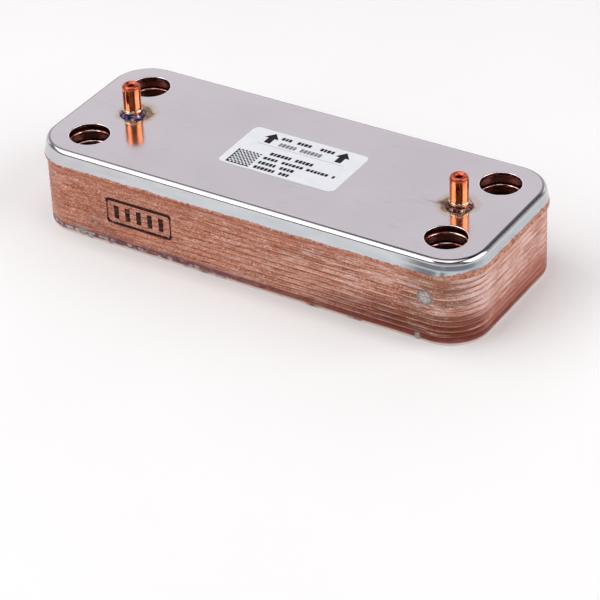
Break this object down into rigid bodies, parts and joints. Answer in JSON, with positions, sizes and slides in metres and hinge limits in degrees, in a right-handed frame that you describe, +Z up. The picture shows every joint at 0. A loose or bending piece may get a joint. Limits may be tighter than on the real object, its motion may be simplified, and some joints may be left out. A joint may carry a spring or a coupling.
{
  "type": "brazed plate heat exchanger",
  "caption": "Compact brazed plate heat exchanger for a boiler: a long rounded stack of nested copper-brazed plates under a steel cover with ports and studs.",
  "frame": {"origin": "centre of the outline, on the plane that the back plate's rim stands on", "axes": "+X along the length, +Y across the width, +Z up out of the face with the ports"},
  "size_m": [0.19, 0.074, 0.0485],
  "materials": {
    "cover_steel": "satin rolled stainless steel",
    "coated_steel": "stainless steel wetted by a thin film of braze copper",
    "braze_copper": "dull furnace-brazed copper",
    "coated_washer": "copper-wetted steel",
    "copper_plated_stud": "bright copper plating",
    "weld_flash": "dark heat-blued weld flash",
    "label_film": "white printed polyester film"
  },
  "bodies": {
    "root": {"cover_plate": "cover_steel", "port_washers": "coated_washer", "back_plate": "coated_steel", "plate_01": "coated_steel", "plate_02": "coated_steel", "plate_03": "coated_steel", "plate_04": "coated_steel", "plate_05": "coated_steel", "plate_06": "coated_steel", "plate_07": "coated_steel", "plate_08": "coated_steel", "plate_09": "coated_steel", "plate_10": "coated_steel", "plate_11": "coated_steel", "plate_12": "coated_steel", "braze_00": "braze_copper", "braze_01": "braze_copper", "braze_02": "braze_copper", "braze_03": "braze_copper", "braze_04": "braze_copper", "braze_05": "braze_copper", "braze_06": "braze_copper", "braze_07": "braze_copper", "braze_08": "braze_copper", "braze_09": "braze_copper", "braze_10": "braze_copper", "braze_11": "braze_copper", "braze_12": "braze_copper", "stud_left": "copper_plated_stud", "stud_right": "copper_plated_stud", "stud_weld_left": "weld_flash", "stud_weld_right": "weld_flash", "label": "label_film"}
  },
  "joints": []
}
